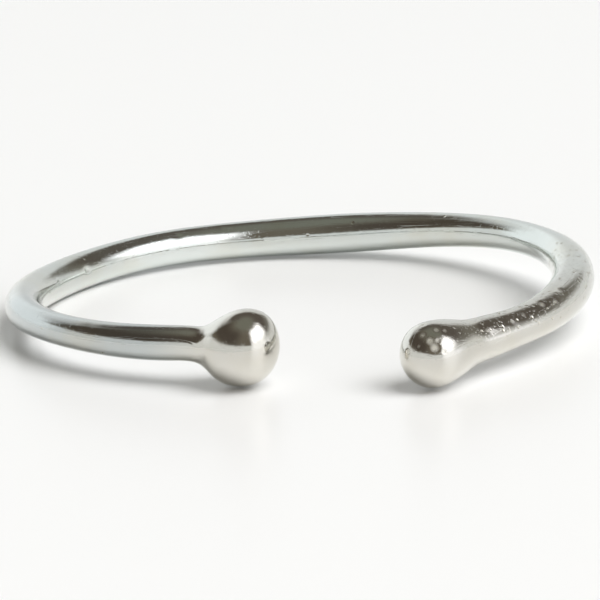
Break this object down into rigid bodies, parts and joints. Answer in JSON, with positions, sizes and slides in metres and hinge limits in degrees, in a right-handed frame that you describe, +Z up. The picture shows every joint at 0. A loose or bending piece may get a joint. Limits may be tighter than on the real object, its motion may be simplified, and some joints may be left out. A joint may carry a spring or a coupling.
{
  "type": "adjustable ring",
  "caption": "Open adjustable finger ring of round silver wire, with the ends melted into balls that face each other across the gap.",
  "frame": {"origin": "centre of the ring's box, on the table that the ring lies on", "axes": "+Z up through the finger hole, +Y towards the back of the band, -Y towards the gap, +X from the left ball to the right ball"},
  "size_m": [0.0202, 0.0202, 0.0026],
  "materials": {
    "polished_silver": "polished silver with fine scratches and small pits"
  },
  "bodies": {
    "root": {"ball_ended_band": "polished_silver"}
  },
  "joints": []
}
